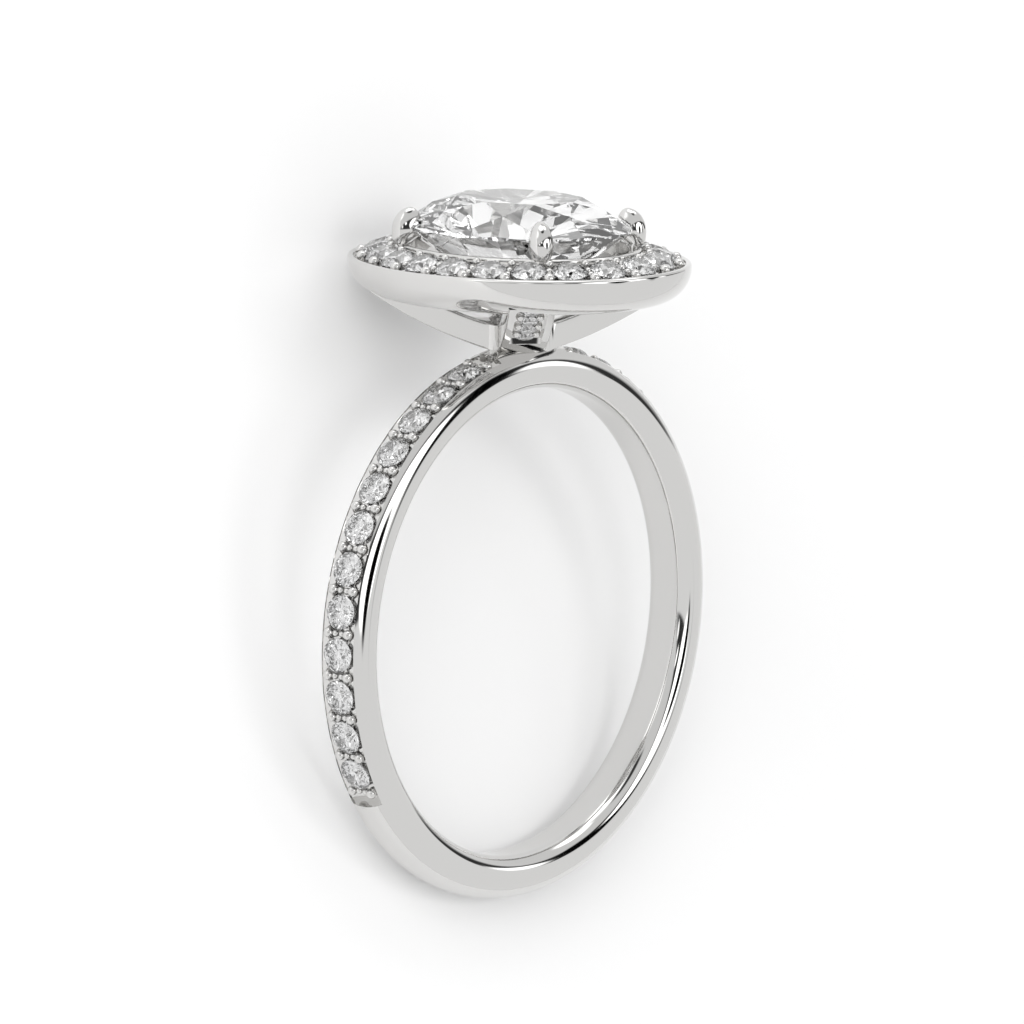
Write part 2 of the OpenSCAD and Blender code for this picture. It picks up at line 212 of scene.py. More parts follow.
class Shape:
    """Vertices and faces that are collected into one mesh."""

    def __init__(self):
        self.points = []
        self.faces = []
        self.count = 0

    def add(self, points):
        points = np.asarray(points, float).reshape(-1, 3)
        start = self.count
        self.points.append(points)
        self.count += len(points)
        return start

    def grid(self, rows, wrap_rows=False, wrap_columns=False, skip=None):
        """A sheet of quads over rows[i, j]. skip(i, j) leaves a quad out."""
        rows = np.asarray(rows, float)
        n, m = rows.shape[:2]
        start = self.add(rows)
        for i in range(n if wrap_rows else n - 1):
            for j in range(m if wrap_columns else m - 1):
                if skip and skip(i, j):
                    continue
                near = start + i * m
                far = start + (i + 1) % n * m
                h = (j + 1) % m
                self.faces.append((near + j, far + j, far + h, near + h))

    def mesh(self, name, material, sharp=32.0, smooth=True):
        """The collected shape as an object of the scene, with its double points joined."""
        points = np.concatenate(self.points)
        keys = np.round(points, 5)
        _, first, index = np.unique(keys, axis=0, return_index=True, return_inverse=True)
        index = index.reshape(-1)
        faces = []
        for face in self.faces:
            ids = []
            for v in face:
                if not ids or index[v] != ids[-1]:
                    ids.append(int(index[v]))
            if len(ids) > 1 and ids[0] == ids[-1]:
                ids.pop()
            if len(set(ids)) > 2:
                faces.append(ids)
        data = bpy.data.meshes.new(name)
        data.from_pydata([tuple(p) for p in laid(points[first])], [], faces)
        data.validate()
        data.update()
        obj = bpy.data.objects.new(name, data)
        bpy.context.scene.collection.objects.link(obj)
        even_normals(data)
        if smooth:
            data.polygons.foreach_set("use_smooth", [True] * len(data.polygons))
            data.set_sharp_from_angle(angle=math.radians(sharp))
        data.materials.append(material)
        return obj


def even_normals(data):
    """Turns a mesh's faces so that they all look outwards."""
    work = bmesh.new()
    work.from_mesh(data)
    bmesh.ops.recalc_face_normals(work, faces=work.faces)
    work.to_mesh(data)
    work.free()


def arc(cx, cy, r, start, end, steps):
    """Points of an arc in a flat profile, angles in degrees."""
    angles = np.radians(np.linspace(start, end, steps + 1))
    return [(cx + r * math.cos(a), cy + r * math.sin(a)) for a in angles]


# The halo's oval


def quarter_end(d):
    """Length of half an end arc at distance d."""
    return (END_R + d) * (math.pi / 2 - SPLIT)


def quarter_side(d):
    """Length of half a side arc at distance d."""
    return (SIDE_R + d) * SPLIT


def heading(d, s):
    """Outward direction at arc length s from the +y end, within the first quarter."""
    if s < quarter_end(d):
        return math.pi / 2 - s / (END_R + d)
    return SPLIT - (s - quarter_end(d)) / (SIDE_R + d)


def turn(d, u):
    """Outward direction for a share u of the way round, clockwise from +y."""
    v = (u % 1.0) * 4
    q = int(v)
    f = v - q
    whole = quarter_end(d) + quarter_side(d)
    if q == 0:
        return heading(d, f * whole)
    if q == 1:
        return -heading(d, (1 - f) * whole)
    if q == 2:
        return math.pi + heading(d, f * whole)
    return math.pi - heading(d, (1 - f) * whole)


def oval(d, a):
    """Point of the oval at distance d where the outward direction is a."""
    c, s = math.cos(a), math.sin(a)
    first = math.atan2(abs(s), abs(c))
    if first > SPLIT:
        x, y = (END_R + d) * math.cos(first), END_C + (END_R + d) * math.sin(first)
    else:
        x, y = (SIDE_R + d) * math.cos(first) - SIDE_C, (SIDE_R + d) * math.sin(first)
    return (-x if c < 0 else x, -y if s < 0 else y)


def oval_distance(x, y):
    """Distance of a point outwards from the centre stone's edge."""
    x, y = abs(x), abs(y)
    if math.atan2(y, x + SIDE_C) > SPLIT:
        return math.hypot(x, y - END_C) - END_R
    return math.hypot(x + SIDE_C, y) - SIDE_R


def floor_z(d):
    """Height of the halo's sloping row at distance d."""
    return RIM_Z + RIM_LIP - ROW_DEPTH + (ROW_OUT - d) * math.tan(HALO_SLOPE)


# Places of the small stones: an origin and three directions, the last one out of the surface


def shoulder_place(side, angle):
    a = math.radians(angle)
    out = np.array([side * math.sin(a), 0, math.cos(a)])
    along = np.array([side * math.cos(a), 0, -math.sin(a)])
    return out * CHANNEL_R, along, np.array([0, 1.0, 0]), out


def halo_place(u, d):
    a = turn(ROW_MID, u)
    x, y = oval(d, a)
    out = np.array([math.cos(a), math.sin(a), 0])
    down = out * math.cos(HALO_SLOPE) - np.array([0, 0, math.sin(HALO_SLOPE)])
    up = out * math.sin(HALO_SLOPE) + np.array([0, 0, math.cos(HALO_SLOPE)])
    return np.array([x, y, floor_z(d)]), down, np.array([-math.sin(a), math.cos(a), 0]), up


def leg_axes(k):
    """Directions along and across leg k, seen from above."""
    h = math.radians(135 - 90 * k)
    return np.array([math.cos(h), math.sin(h), 0]), np.array([-math.sin(h), math.cos(h), 0])


def leg_turn(s):
    """Angle on the leg's curve at a distance s from the ring's axis."""
    return math.asin((s - LEG_CX) / LEG_CURVE)


def leg_place(k, angle):
    along, across = leg_axes(k)
    r = LEG_CURVE - LEG_CHANNEL_DEPTH
    origin = along * (LEG_CX + r * math.sin(angle))
    origin = origin + np.array([0, 0, LEG_CZ - r * math.cos(angle)])
    out = along * math.sin(angle) - np.array([0, 0, math.cos(angle)])
    slope = along * math.cos(angle) + np.array([0, 0, math.sin(angle)])
    return origin, slope, across, out


def basket_angle(i):
    """Angle of basket stone i on the leg's curve; halves lie between two stones."""
    step = 2 * math.asin(BASKET_PITCH / 2 / LEG_CURVE)
    middle = (leg_turn(LEG_CHANNEL[0]) + leg_turn(LEG_CHANNEL[1])) / 2
    return middle + (i - (BASKET_COUNT - 1) / 2) * step


def sink_at(sink, along, across):
    """Depth of a sunk floor: the second value midway between two stones, the first elsewhere."""
    least, most = sink
    return least + (most - least) * along**2 * (1 - across**4)


def seat_shares():
    """Places along one side of a cell where its border has a point."""
    eighth = SEAT_POINTS // 8
    return [math.tan(2 * math.pi * i / SEAT_POINTS) for i in range(-eighth, eighth + 1)]


def cell(shape, place, stone_d, edge_point, sink, row_along=True, flat=0):
    """One stone's patch of a floor: the surface round the seat, and the cone of the seat.

    edge_point(p, q) is the surface's point for p and q from -1 to 1 across the patch. The row of
    stones runs along p, or along q. flat is the end of the row, -1 or 1, where the patch has no
    cut, and 0 within the row.
    """
    origin, ax, ay, out = place
    r = stone_d / 2 + SEAT_GAP
    deep = PAVILION_SHARE * stone_d + SEAT_GAP
    rings = [[], [], [], [], []]
    for i in range(SEAT_POINTS):
        a = 2 * math.pi * i / SEAT_POINTS
        c, s = math.cos(a), math.sin(a)
        big = max(abs(c), abs(s))
        p, q = c / big, s / big
        along, across = (p, q) if row_along else (q, p)
        depth = sink_at(sink, 0 if along * flat > 0 else along, across)
        edge = np.array(edge_point(p, q))
        way = ax * c + ay * s
        rim = r - (r - SEAT_FOOT) * depth / deep
        near = origin + way * (rim + SEAT_EDGE) - out * depth
        rings[0].append(edge)
        rings[1].append((edge + near) / 2)
        rings[2].append(near)
        rings[3].append(origin + way * rim - out * (depth + SEAT_EDGE))
        rings[4].append(origin + way * SEAT_FOOT - out * deep)
    shape.grid(np.array(rings), wrap_columns=True)


def bead(shape, place, shift, r, lift=BEAD_LIFT, rows=12, columns=20):
    """A round bead, its centre lift times its radius above the floor."""
    origin, ax, ay, out = place
    centre = origin + ay * shift + out * lift * r
    rings = []
    for i in range(rows + 1):
        t = math.pi * i / rows
        ring = []
        for j in range(columns):
            a = 2 * math.pi * j / columns
            way = ax * math.cos(a) + ay * math.sin(a)
            ring.append(centre + way * r * math.sin(t) + out * r * math.cos(t))
        rings.append(ring)
    shape.grid(np.array(rings), wrap_columns=True)


# Band


def dome(y):
    """The band's outer radius at y."""
    flat = BAND_HALF - BAND_ROUND
    over = max(abs(y) - flat, 0)
    return BAND_R - BAND_ROUND + math.sqrt(max(BAND_ROUND**2 - over**2, 0))


# Height of the channel's floor above the centre of the dome's rounding, and half width of the
# dome there
DOME_RISE = CHANNEL_R - BAND_R + BAND_ROUND
STRIP_HALF = BAND_HALF - BAND_ROUND + math.sqrt(BAND_ROUND**2 - DOME_RISE**2)


def in_strip(angle):
    """True where the band has a shoulder's channel."""
    return SHOULDER_START - SHOULDER_TURN <= abs(angle) <= SHOULDER_END + SHOULDER_TURN


def band_section(sunk):
    """The section's points from the strip's +y edge round the inside to its -y edge."""
    start = STRIP_HALF if sunk else 0
    top = BAND_R - BAND_ROUND
    inner = BAND_HALF - BAND_EASE
    steps = 24
    turns = [math.pi / 2 * i / steps for i in range(steps + 1)]
    ys = [start + (BAND_HALF - start) * math.sin(a) for a in turns]
    one = [(dome(y), y) for y in ys]
    one += [(top - (top - FINGER_R - BAND_EASE) * i / 4, BAND_HALF) for i in range(1, 4)]
    one += arc(FINGER_R + BAND_EASE, inner, BAND_EASE, 90, 180, 14)
    one += [(FINGER_R, inner - inner * i / 3) for i in range(1, 4)]
    other = [(r, -y) for r, y in reversed(one[:-1])]
    return one + other


def ring_point(r, y, angle):
    """Point at radius r and angle from the top of the band."""
    a = math.radians(angle)
    return (r * math.sin(a), y, r * math.cos(a))


def at_radius(point, r):
    """The point moved straight out from the finger's axis, or in to it."""
    x, y, z = point
    share = r / math.hypot(x, z)
    return (x * share, y, z * share)


def make_band(metal):
    shape = Shape()
    first = SHOULDER_START - SHOULDER_TURN
    last = SHOULDER_END + SHOULDER_TURN
    for low, high in ((-last, -first), (-first, first), (first, last), (last, 360 - last)):
        angles = np.linspace(low, high, max(2, int(round(high - low))) + 1)
        section = band_section(in_strip((low + high) / 2))
        shape.grid([[ring_point(r, y, a) for r, y in section] for a in angles])
    half_step = SHOULDER_STEP / 2
    for side in (-1, 1):
        for i in range(SHOULDER_COUNT):
            angle = SHOULDER_START + i * SHOULDER_STEP
            before = SHOULDER_TURN if i == 0 else half_step
            after = SHOULDER_TURN if i == SHOULDER_COUNT - 1 else half_step
            flat = {0: -1, SHOULDER_COUNT - 1: 1}.get(i, 0)

            def edge_point(p, q, angle=angle, side=side, before=before, after=after, flat=flat):
                along = p * (after if p > 0 else before)
                r = CHANNEL_R - sink_at(SHOULDER_BORDER, 0 if p * flat > 0 else p, q)
                return ring_point(r, q * STRIP_HALF, side * (angle + along))

            place = shoulder_place(side, angle)
            cell(shape, place, SHOULDER_D, edge_point, SHOULDER_SINK, flat=flat)
            for q in (-1, 1):
                low = [edge_point(p, q) for p in seat_shares()]
                top = [at_radius(point, CHANNEL_R) for point in low]
                shape.grid([top, low])
            for p, outer in ((-1, i == 0), (1, i == SHOULDER_COUNT - 1)):
                if outer:
                    end = side * (angle + p * SHOULDER_TURN)
                    ys = [q * STRIP_HALF for q in seat_shares()]
                    top = [ring_point(dome(y), y, end) for y in ys]
                    shape.grid([top, [edge_point(p, q) for q in seat_shares()]])
    return shape.mesh("band_metal", metal)


# Halo


def halo_profile():
    """Flat profile of the cup as distance and height, from the row's outer edge round to its
    inner edge."""
    e = EDGE
    lip = (RIM_OUT - ROW_OUT) / 2
    points = [(ROW_OUT, floor_z(ROW_OUT) - HALO_SINK[0])]
    points += arc(RIM_OUT - lip, RIM_Z + RIM_LIP - lip, lip, 180, 0, 20)
    points += arc(RIM_OUT - WALL_ROUND, RIM_Z, WALL_ROUND, 0, -90, 36)
    flat = RIM_OUT - WALL_ROUND - COLLET_IN
    points += [(RIM_OUT - WALL_ROUND - flat * i / 6, HALO_FLOOR_Z) for i in range(1, 6)]
    points += [(COLLET_IN + e, HALO_FLOOR_Z), (COLLET_IN + e * 0.3, HALO_FLOOR_Z + e * 0.3)]
    points += [(COLLET_IN, HALO_FLOOR_Z + e), (COLLET_IN, COLLET_Z - 2 * e)]
    half = (COLLET_OUT - COLLET_IN) / 2
    middle = (COLLET_OUT + COLLET_IN) / 2
    rise = half * COLLET_ROUND
    for i in range(9):
        a = math.pi * i / 8
        points.append((middle - half * math.cos(a), COLLET_Z - rise + rise * math.sin(a)))
    points += [(COLLET_OUT, floor_z(COLLET_OUT) - HALO_SINK[0])]
    return points


def halo_headings():
    """Outward directions of the cup's sections, evenly spaced along the row."""
    steps = HALO_COUNT * HALO_SECTIONS
    return [turn(ROW_MID, i / steps) for i in range(steps)]


def in_leg_channel(point):
    """True where the cup's underside would stand in a leg's sunk channel."""
    x, y, z = point
    margin = 0.03
    for k in range(1, 5):
        along, across = leg_axes(k)
        s = x * along[0] + y * along[1]
        t = x * across[0] + y * across[1]
        if LEG_CHANNEL[0] < s < LEG_CHANNEL[1] + margin and abs(t) < LEG_CHANNEL_HALF + margin:
            if z < channel_floor(s) + margin:
                return True
    return False


def make_halo(metal):
    shape = Shape()
    profile = halo_profile()
    rows = []
    for a in halo_headings():
        rows.append([(*oval(d, a), z) for d, z in profile])
    rows = np.array(rows)
    n, m = rows.shape[:2]
    bare = [[in_leg_channel(rows[i, j]) for j in range(m)] for i in range(n)]

    def skip(i, j):
        k = (i + 1) % n
        return bare[i][j] or bare[k][j] or bare[i][j + 1] or bare[k][j + 1]

    shape.grid(rows, wrap_rows=True, skip=skip)
    half = (ROW_OUT - COLLET_OUT) / 2
    for i in range(HALO_COUNT):

        def edge_point(p, q, i=i):
            a = turn(ROW_MID, (i - q / 2) / HALO_COUNT)
            d = ROW_MID + p * half
            return (*oval(d, a), floor_z(d) - sink_at(HALO_SINK, q, p))

        place = halo_place(i / HALO_COUNT, ROW_MID)
        cell(shape, place, HALO_D, edge_point, HALO_SINK, row_along=False)
    return shape.mesh("halo_metal", metal)


# Basket


def leg_low(s):
    """Height of a leg's underside at s."""
    return LEG_CZ - math.sqrt(LEG_CURVE**2 - (s - LEG_CX) ** 2)


def channel_floor(s):
    """Height of the floor of a leg's channel at s."""
    return LEG_CZ - math.sqrt((LEG_CURVE - LEG_CHANNEL_DEPTH) ** 2 - (s - LEG_CX) ** 2)


def leg_half(s):
    """Half width of a leg at s, with the rounded corner to its neighbours."""
    c, f = LEG_HALF, LEG_FILLET
    if s >= c + f:
        return c
    if s <= LEG_CORNER:
        return s
    return c + f - math.sqrt(f**2 - (c + f - s) ** 2)


def leg_rows():
    """Distances from the ring's axis at which a leg has a section."""
    parts = [np.linspace(0, LEG_CORNER, 12), np.linspace(LEG_CORNER, LEG_HALF + LEG_FILLET, 14)]
    parts += [np.linspace(LEG_HALF + LEG_FILLET, LEG_CHANNEL[0], 12)]
    parts += [np.linspace(LEG_CHANNEL[0], LEG_CHANNEL[1], 40)]
    parts += [np.linspace(LEG_CHANNEL[1], LEG_END, 3)]
    return np.unique(np.round(np.concatenate(parts), 5))


def leg_edge(s):
    """Rounding of a leg's long edges, none where two legs meet."""
    return LEG_EDGE * min(max((s - LEG_CORNER) / LEG_EDGE_START, 0), 1)


def make_legs(metal):
    shape = Shape()
    inner = LEG_CHANNEL_HALF / LEG_HALF
    shares = [-inner, -inner * 0.5, 0, inner * 0.5, inner]
    corner = LEG_CORNER_STEPS
    steps = leg_rows()
    for k in range(1, 5):
        along, across = leg_axes(k)

        def at(s, t, z):
            return along * s + across * t + np.array([0, 0, z])

        rows = []
        for s in steps:
            w, e, z = leg_half(s), leg_edge(s), leg_low(s)
            side, top = w - e, z + LEG_T - e
            section = arc(-side, z + e, e, 180, 270, corner)
            section += [(w * share, z) for share in shares]
            section += arc(side, z + e, e, 270, 360, corner)
            section += arc(side, top, e, 0, 90, corner)
            section += arc(-side, top, e, 90, 180, corner)
            section.append(section[0])
            rows.append([at(s, t, height) for t, height in section])
        last = len(rows[0]) - 1
        walls = (2 * corner + 1 + len(shares), last - 1)
        underside = range(corner + 1, corner + len(shares))

        def skip(i, j):
            """True for the underside over the channel, and the walls where two legs meet."""
            sunk = LEG_CHANNEL[0] <= steps[i] < LEG_CHANNEL[1] and j in underside
            return sunk or (steps[i] < LEG_CORNER - 0.001 and j in walls)

        shape.grid(np.array(rows), skip=skip)
        leg_channel(shape, k, at, steps)
    return shape.mesh("basket_metal", metal)


def leg_channel(shape, k, at, steps):
    """The walls of a leg's sunk channel, and its floor with the seats."""
    w = LEG_CHANNEL_HALF
    floor_r = LEG_CURVE - LEG_CHANNEL_DEPTH

    inside = [s for s in steps if LEG_CHANNEL[0] <= s <= LEG_CHANNEL[1]]
    levels = (leg_low, channel_floor)
    for side in (-1, 1):
        shape.grid([[at(s, side * w, level(s)) for s in inside] for level in levels])

    def floor_angle(s):
        return math.asin((s - LEG_CX) / floor_r)

    end = BASKET_COUNT - 1
    for i in range(BASKET_COUNT):
        first = floor_angle(LEG_CHANNEL[0]) if i == 0 else basket_angle(i - 0.5)
        last = floor_angle(LEG_CHANNEL[1]) if i == end else basket_angle(i + 0.5)
        middle = basket_angle(i)

        def edge_point(p, q):
            a = middle + p * ((last - middle) if p > 0 else (middle - first))
            r = floor_r - sink_at(BASKET_SINK, p, q)
            return at(LEG_CX + r * math.sin(a), q * w, LEG_CZ - r * math.cos(a))

        cell(shape, leg_place(k, middle), BASKET_D, edge_point, BASKET_SINK)
        for p, s, outer in ((-1, LEG_CHANNEL[0], i == 0), (1, LEG_CHANNEL[1], i == end)):
            if outer:
                top = [at(s, q * w, leg_low(s)) for q in seat_shares()]
                shape.grid([top, [edge_point(p, q) for q in seat_shares()]])


# Claws


def stone_edge(z):
    """How far inwards the centre stone's surface lies from its girdle at a height."""
    over = abs(z - GIRDLE_Z) - GIRDLE_T / 2
    if over <= 0:
        return 0.0
    rate = CROWN_H / ((1 - TABLE) * CENTRE_W / 2) if z > GIRDLE_Z else PAVILION_H / (CENTRE_W / 2)
    return -over / rate


def claw_profile():
    """A claw's half width, stretch, lean and height from its post up, with a tall round top.

    The stretch and the lean are towards the stone, so that the top lies over the stone's edge.
    """
    wide = CLAW_TOP - CLAW_ROUND
    foot = CLAW_FOOT_Z
    inset = 0.1
    heights = np.linspace(HALO_FLOOR_Z + inset, foot - inset, 6)
    points = [(CLAW_POST_R, 1, 0, z) for z in heights]
    steps = 16
    for i in range(steps + 1):
        t = i / steps
        swell = (CLAW_R - CLAW_FOOT_R) * (1 - (1 - t) ** 2)
        early = min(t * 8, 1)
        lean = -CLAW_SHIFT * (CLAW_R - CLAW_FOOT_R - swell) * early
        stretch = 1 + (CLAW_STRETCH - 1) * t
        points.append((CLAW_FOOT_R + swell, stretch, lean, foot + (wide - foot) * t))
    steps = 24
    for i in range(1, steps + 1):
        a = math.pi / 2 * i / steps
        lean = CLAW_LEAN * (1 - math.cos(a))
        z = wide + CLAW_ROUND * math.sin(a)
        points.append((CLAW_R * math.cos(a), CLAW_STRETCH, lean, z))
    return points


def make_claws(metal):
    shape = Shape()
    edge = 1 / math.hypot(math.sin(CLAW_ANGLE) * 2 / CENTRE_W, math.cos(CLAW_ANGLE) * 2 / CENTRE_L)
    distance = edge + CLAW_R - CLAW_BITE
    for sx in (-1, 1):
        for sy in (-1, 1):
            out = np.array([sx * math.sin(CLAW_ANGLE), sy * math.cos(CLAW_ANGLE)])
            across = np.array([-out[1], out[0]])
            rows = []
            for r, stretch, lean, z in claw_profile():
                row = []
                for i in range(CLAW_POINTS):
                    a = 2 * math.pi * i / CLAW_POINTS
                    reach = r * math.cos(a) * (stretch if math.cos(a) < 0 else 1)
                    x, y = out * (distance - lean + reach) + across * r * math.sin(a)
                    row.append(clear_of_stone(x, y, z))
                rows.append(row)
            shape.grid(np.array(rows), wrap_columns=True)
    return shape.mesh("claw_metal", metal, sharp=50)


def clear_of_stone(x, y, z):
    """A claw's point, pushed out to the centre stone's surface where it would lie inside it."""
    d = oval_distance(x, y)
    least = stone_edge(z) + SEAT_GAP
    if d >= least or z < GIRDLE_Z - CLAW_CLEAR_DEPTH:
        return (x, y, z)
    step = 0.001
    gx = (oval_distance(x + step, y) - d) / step
    gy = (oval_distance(x, y + step) - d) / step
    return (x + gx * (least - d), y + gy * (least - d), z)


def make_beads(metal):
    shape = Shape()
    for side in (-1, 1):
        for i in range(SHOULDER_COUNT + 1):
            place = shoulder_place(side, SHOULDER_START + (i - 0.5) * SHOULDER_STEP)
            for edge in (-1, 1):
                bead(shape, place, edge * SHOULDER_BEAD_REACH, SHOULDER_BEAD_R, lift=0)
                bead(shape, place, edge * CUT_BEAD_REACH, CUT_BEAD_R, lift=CUT_BEAD_LIFT)
    for i in range(HALO_COUNT):
        u = (i + 0.5) / HALO_COUNT
        bead(shape, halo_place(u, ROW_MID - HALO_BEAD_REACH), 0, HALO_BEAD_R)
        bead(shape, halo_place(u, ROW_MID + RIM_BEAD_REACH), 0, RIM_BEAD_R)
        for edge in (-1, 1):
            middle = halo_place(u, ROW_MID + edge * CUT_BEAD_REACH)
            bead(shape, middle, 0, CUT_BEAD_R, lift=CUT_BEAD_LIFT)
    reach = LEG_CHANNEL_HALF - BASKET_BEAD_INSET * BASKET_BEAD_R
    for k in range(1, 5):
        for i in range(BASKET_COUNT - 1):
            for edge in (-1, 1):
                bead(shape, leg_place(k, basket_angle(i + 0.5)), edge * reach, BASKET_BEAD_R)
    return shape.mesh("bead_metal", metal, sharp=80)


# Centre stone


def brilliant_faces(per_half):
    """Points and flat faces of a brilliant of radius 1: 33 crown and 24 pavilion facets, with a
    scalloped girdle of 16 * per_half points."""
    slope = CROWN_H / (1 - TABLE)
    top = GIRDLE_T / 2
    star_r = 0.5 * (1 + TABLE)
    half_r = 0.24
    eighth = math.pi / 4

    def around(r, z, a):
        return np.array([r * math.cos(a), r * math.sin(a), z])

    table = [around(TABLE, top + CROWN_H, k * eighth) for k in range(8)]
    star_z = top + (1 - star_r * math.cos(eighth / 2)) * slope
    half_z = -top - (1 - half_r * math.cos(eighth / 2)) * PAVILION_H
    stars = [around(star_r, star_z, (k + 0.5) * eighth) for k in range(8)]
    halves = [around(half_r, half_z, (k + 0.5) * eighth) for k in range(8)]
    culet = np.array([0, 0, -top - PAVILION_H])
    count = 16 * per_half
    upper, lower = [], []
    for i in range(count):
        a = 2 * math.pi * i / count
        part = i // per_half
        first = around(1, 0, part * eighth / 2)
        second = around(1, 0, (part + 1) * eighth / 2)
        for ring, tip, level in ((upper, stars[part // 2], top), (lower, halves[part // 2], -top)):
            p0, p1 = first + (0, 0, level), second + (0, 0, level)
            n = np.cross(p1 - p0, tip - p0)
            x, y = math.cos(a), math.sin(a)
            z = p0[2] - (n[0] * (x - p0[0]) + n[1] * (y - p0[1])) / n[2]
            ring.append(np.array([x, y, z]))
    points = table + stars + halves + [culet] + upper + lower
    s, h, c, g = 8, 16, 24, 25
    b = g + count
    faces = [tuple(range(8))]
    for k in range(8):
        n = (k + 1) % 8
        p = 2 * per_half * k
        faces.append((k, s + k, n))
        faces.append((k, s + (k + 7) % 8, g + p, s + k))
        faces.append((c, h + k, b + p, h + (k + 7) % 8))
        for j in (0, 1):
            run = [(p + j * per_half + i) % count for i in range(per_half + 1)]
            faces.append(tuple([s + k] + [g + i for i in run]))
            faces.append(tuple([h + k] + [b + i for i in reversed(run)]))
    for i in range(count):
        j = (i + 1) % count
        faces.append((g + i, b + i, b + j, g + j))
    return np.array(points), faces


def make_centre_stone(diamond):
    shape = Shape()
    points, faces = brilliant_faces(8)
    points = points * (CENTRE_W / 2, CENTRE_L / 2, 1) + (0, 0, GIRDLE_Z)
    start = shape.add(points)
    shape.faces = [tuple(start + i for i in f) for f in faces]
    return shape.mesh("centre_brilliant", diamond, smooth=False)


# Materials


def principled(name, color, **inputs):
    """A material of one colour. Each input's name has _ for the spaces in the socket's name."""
    material = bpy.data.materials.new(name)
    material.use_nodes = True
    shader = material.node_tree.nodes["Principled BSDF"]
    shader.inputs["Base Color"].default_value = (*color, 1)
    for key, value in inputs.items():
        shader.inputs[key.replace("_", " ")].default_value = value
    return material


def polished_metal():
    """White gold with a very fine, uneven polish."""
    material = principled("white_gold_polish", (0.68, 0.675, 0.665), Metallic=1.0, Roughness=0.06)
    tree = material.node_tree
    shader = tree.nodes["Principled BSDF"]
    place = tree.nodes.new("ShaderNodeTexCoord")
    noise = tree.nodes.new("ShaderNodeTexNoise")
    noise.inputs["Scale"].default_value = 900
    noise.inputs["Detail"].default_value = 3
    spread = tree.nodes.new("ShaderNodeMapRange")
    spread.inputs["To Min"].default_value = 0.04
    spread.inputs["To Max"].default_value = 0.08
    tree.links.new(place.outputs["Object"], noise.inputs["Vector"])
    tree.links.new(noise.outputs["Fac"], spread.inputs["Value"])
    tree.links.new(spread.outputs["Result"], shader.inputs["Roughness"])
    return material


def cut_diamond(name, clear):
    return principled(name, (clear,) * 3, Roughness=0.0, IOR=2.417, Transmission_Weight=1.0)


def paint(node, material):
    """Gives a CAD node its material, with flat facets."""
    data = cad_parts[node].data
    data.materials.clear()
    data.materials.append(material)
    data.polygons.foreach_set("use_smooth", [False] * len(data.polygons))


def keep(obj, node):
    """Shows a piece in place of a CAD node."""
    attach(obj, "root")
    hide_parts(node)


metal = polished_metal()
diamond = cut_diamond("diamond_centre", 0.97)
small_diamond = cut_diamond("diamond_small", 0.77)

for make in (make_band, make_halo, make_legs, make_claws, make_beads):
    keep(make(metal), "mount")
keep(make_centre_stone(diamond), "centre_stone")
finishes = {"mount": metal, "centre_stone": diamond}
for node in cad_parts:
    paint(node, finishes.get(node, small_diamond))


# Studio


class Maths:
    """Makes math nodes in one tree, from numbers and other nodes' outputs."""

    def __init__(self, tree):
        self.tree = tree

    def fill(self, socket, value):
        """Links a node's output to a socket, or sets the socket to a number."""
        if isinstance(value, bpy.types.NodeSocket):
            self.tree.links.new(value, socket)
        else:
            socket.default_value = value

    def do(self, operation, *values, clamp=False):
        node = self.tree.nodes.new("ShaderNodeMath")
        node.operation = operation
        node.use_clamp = clamp
        for socket, value in zip(node.inputs, values):
            self.fill(socket, value)
        return node.outputs[0]

    def dot(self, vector, other):
        node = self.tree.nodes.new("ShaderNodeVectorMath")
        node.operation = "DOT_PRODUCT"
        self.tree.links.new(vector, node.inputs[0])
        node.inputs[1].default_value = other
        return node.outputs["Value"]

    def mix(self, value, other, share):
        """value, moved towards other by share."""
        return self.do("ADD", value, self.do("MULTIPLY", share, self.do("SUBTRACT", other, value)))

    def blend(self, value, low, high, first, last):
        """Runs smoothly from first to last as value goes from low to high."""
        node = self.tree.nodes.new("ShaderNodeMapRange")
        node.interpolation_type = "SMOOTHSTEP"
        names = ("Value", "From Min", "From Max", "To Min", "To Max")
        for name, number in zip(names, (value, low, high, first, last)):
            self.fill(node.inputs[name], number)
        return node.outputs["Result"]


# The light tent, seen from the upright ring: brightness below and above it, a dark arch on its
# horizon, and its soft-edged dark flags and bright panels. The arch is azimuth from the near
# side, half width and height in degrees, softness and brightness. Each panel is azimuth,
# elevation, half width and half height in degrees, lean in degrees, softness and brightness.
TENT_LOW = 0.92
TENT_HIGH = 0.8
ARCH = (4, 88, 27, 0.06, 0.04)
PATCHES = (
    (4, 9, 32, 15, 0, 0.1, 2.6),
    (5, 2, 11.5, 11, 0, 0.2, 0.0),
    (40, 8, 6, 16, 0, 0.3, 0.0),
    (52, 6, 5, 7, 0, 0.3, 2.0),
    (-45, 14, 4, 4, 0, 0.3, 2.0),
    (-64, 6, 5, 4, 0, 0.3, 1.6),
    (-20, 62, 14, 9, 0, 0.3, 0.05),
    (60, 58, 12, 9, 0, 0.3, 2.4),
    (140, 66, 16, 9, 0, 0.3, 0.05),
    (-112, 42, 22, 16, 0, 0.4, 1.8),
    (-150, 70, 10, 7, 0, 0.3, 0.05),
    (0, 89, 20, 20, 0, 0.3, 2.2),
)

# Height of a direction, -1 to 1, over which the tent goes from low to high, and over which the
# arch begins at the horizon
TENT_BLEND = (-0.05, 0.5)
HORIZON_BLEND = (-0.03, 0.01)

# Softbox: sides in metres, azimuth and elevation, distance in metres and power
KEY_SIZE = (0.3, 0.3)
KEY_DIRECTION = (-70, 32)
KEY_DISTANCE = 0.35
KEY_POWER = 0.75


